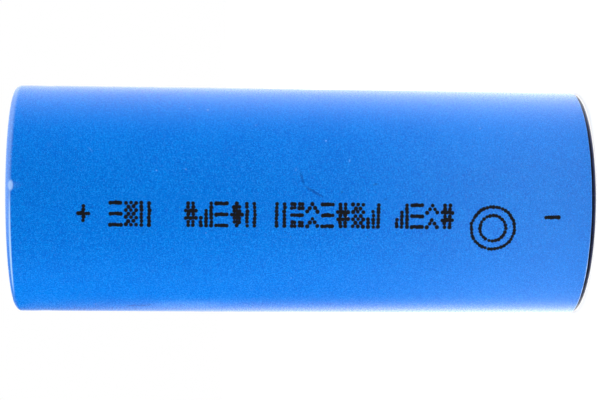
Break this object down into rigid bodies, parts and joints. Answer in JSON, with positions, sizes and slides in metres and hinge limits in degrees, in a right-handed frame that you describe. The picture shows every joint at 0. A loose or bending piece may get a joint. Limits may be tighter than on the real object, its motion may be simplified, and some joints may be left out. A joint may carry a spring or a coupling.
{
  "type": "cylindrical battery cell",
  "caption": "Cylindrical lithium-ion cell in a blue shrink film, with a flat raised contact at one end and a bare metal can bottom at the other.",
  "frame": {"origin": "centre of the outer face of the can's bottom, which is the negative end", "axes": "+Z along the cell's axis towards the positive contact; +X and +Y across it, with both tabs above +Y"},
  "size_m": [0.0262, 0.0262, 0.0654],
  "materials": {
    "plated_steel": "nickel-plated, deep-drawn, satin",
    "contact_steel": "nickel-plated, pressed, half bright",
    "pin_steel": "rolled stainless steel",
    "thermistor_foil": "nickel foil",
    "thermistor_polymer": "carbon-filled polymer",
    "aluminium_sheet": "pressed sheet, satin",
    "aluminium_tab": "rolled foil strip",
    "nickel_tab": "rolled nickel strip",
    "gasket_polymer": "natural polypropylene",
    "ring_polymer": "moulded polyester",
    "washer_paper": "pressed fish paper",
    "blue_film": "heat-shrunk film, gloss",
    "laminate": "glass-fibre laminate",
    "insulator_film": "polyester sheet",
    "separator_film": "microporous film",
    "coated_copper": "copper foil coated with graphite",
    "coated_aluminium": "aluminium foil coated with metal oxide",
    "amber_tape": "polyimide tape"
  },
  "bodies": {
    "root": {"cell_can": "plated_steel", "positive_cap": "contact_steel", "centre_pin": "pin_steel", "thermistor_upper_foil": "thermistor_foil", "thermistor_lower_foil": "thermistor_foil", "thermistor_polymer": "thermistor_polymer", "vent_disc": "aluminium_sheet", "weld_plate": "aluminium_sheet", "positive_tab": "aluminium_tab", "negative_tab": "nickel_tab", "crimp_gasket": "gasket_polymer", "interrupter_ring": "ring_polymer", "paper_washer": "washer_paper", "shrink_sleeve": "blue_film", "top_insulator": "laminate", "bottom_insulator": "insulator_film", "inner_separator": "separator_film", "outer_separator": "separator_film", "wound_anode": "coated_copper", "wound_cathode": "coated_aluminium", "closing_tape": "amber_tape", "positive_tab_tape": "amber_tape", "negative_tab_tape": "amber_tape"}
  },
  "joints": []
}
